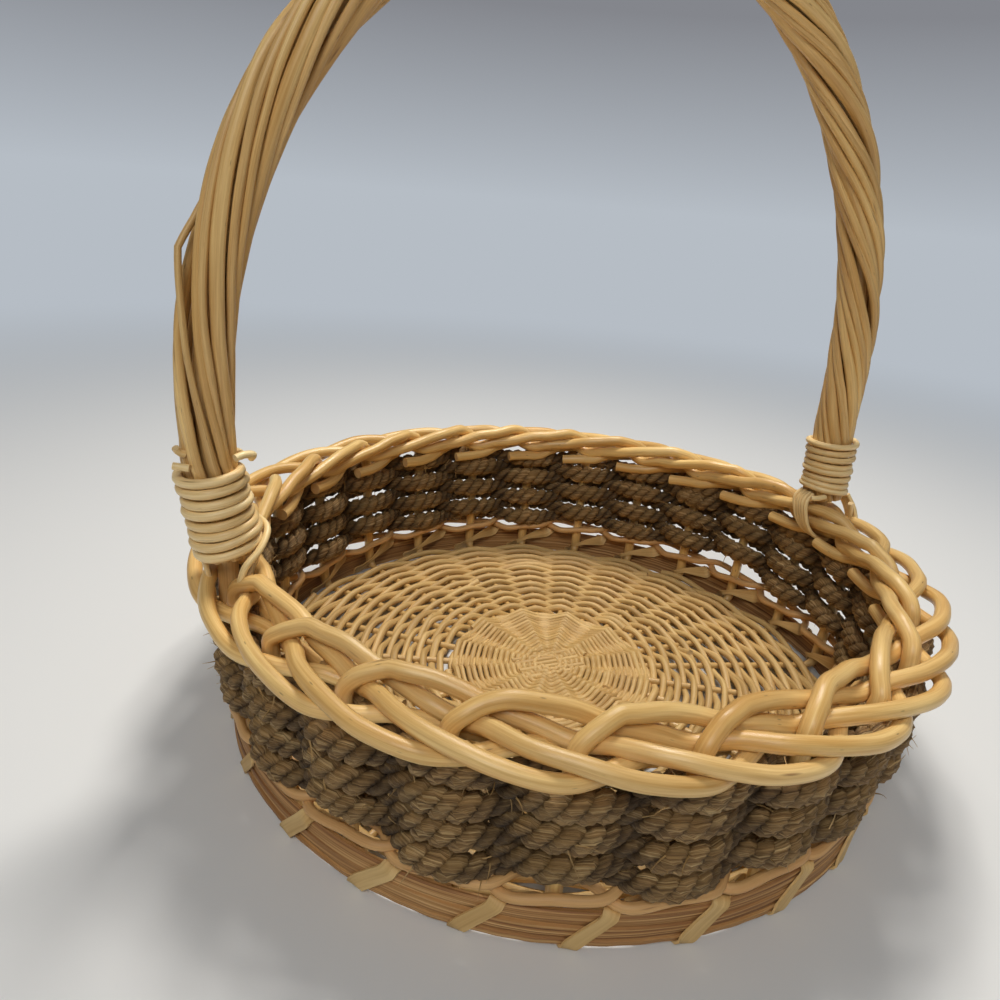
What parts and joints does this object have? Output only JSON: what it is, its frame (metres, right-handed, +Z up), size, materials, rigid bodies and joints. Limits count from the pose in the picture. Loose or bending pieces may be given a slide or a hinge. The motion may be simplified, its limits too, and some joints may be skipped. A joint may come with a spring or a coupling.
{
  "type": "willow and seagrass basket",
  "caption": "Round shallow gathering basket: willow stakes rolled into a thick border, seagrass rope walls, woven base, lashed foot hoop and a fixed handle of twisted rods.",
  "frame": {"origin": "on the table, under the basket's own axis", "axes": "+Z up, +X across the basket from the handle's left foot to its right foot, +Y from the front to the back"},
  "size_m": [0.338, 0.3335, 0.3348],
  "materials": {
    "willow": "peeled and buffed willow, satin",
    "seagrass": "twisted dry seagrass, matt and fibrous",
    "splint": "flat split wood, matt with long fibres",
    "cane": "split cane, pale satin"
  },
  "bodies": {
    "root": {"stake_01": "willow", "stake_02": "willow", "stake_03": "willow", "stake_04": "willow", "stake_05": "willow", "stake_06": "willow", "stake_07": "willow", "stake_08": "willow", "stake_09": "willow", "stake_10": "willow", "stake_11": "willow", "stake_12": "willow", "stake_13": "willow", "stake_14": "willow", "stake_15": "willow", "stake_16": "willow", "stake_17": "willow", "stake_18": "willow", "stake_19": "willow", "stake_20": "willow", "stake_21": "willow", "stake_22": "willow", "stake_23": "willow", "stake_24": "willow", "stake_25": "willow", "base_weave": "willow", "base_hoop": "splint", "base_lashing": "cane", "wale_rod_1": "willow", "wale_rod_2": "willow", "rope_row_1": "seagrass", "rope_row_2": "seagrass", "rope_row_3": "seagrass", "rope_row_4": "seagrass", "rope_row_5": "seagrass", "rope_row_6": "seagrass", "handle_core": "willow", "bow_rod_1": "willow", "bow_rod_2": "willow", "bow_rod_3": "willow", "bow_rod_4": "willow", "bow_rod_5": "willow", "bow_rod_6": "willow", "bow_rod_7": "willow", "bow_rod_8": "willow", "bow_rod_9": "willow", "collar_left": "cane", "collar_right": "cane", "tie_left": "cane", "tie_right": "cane"}
  },
  "joints": []
}
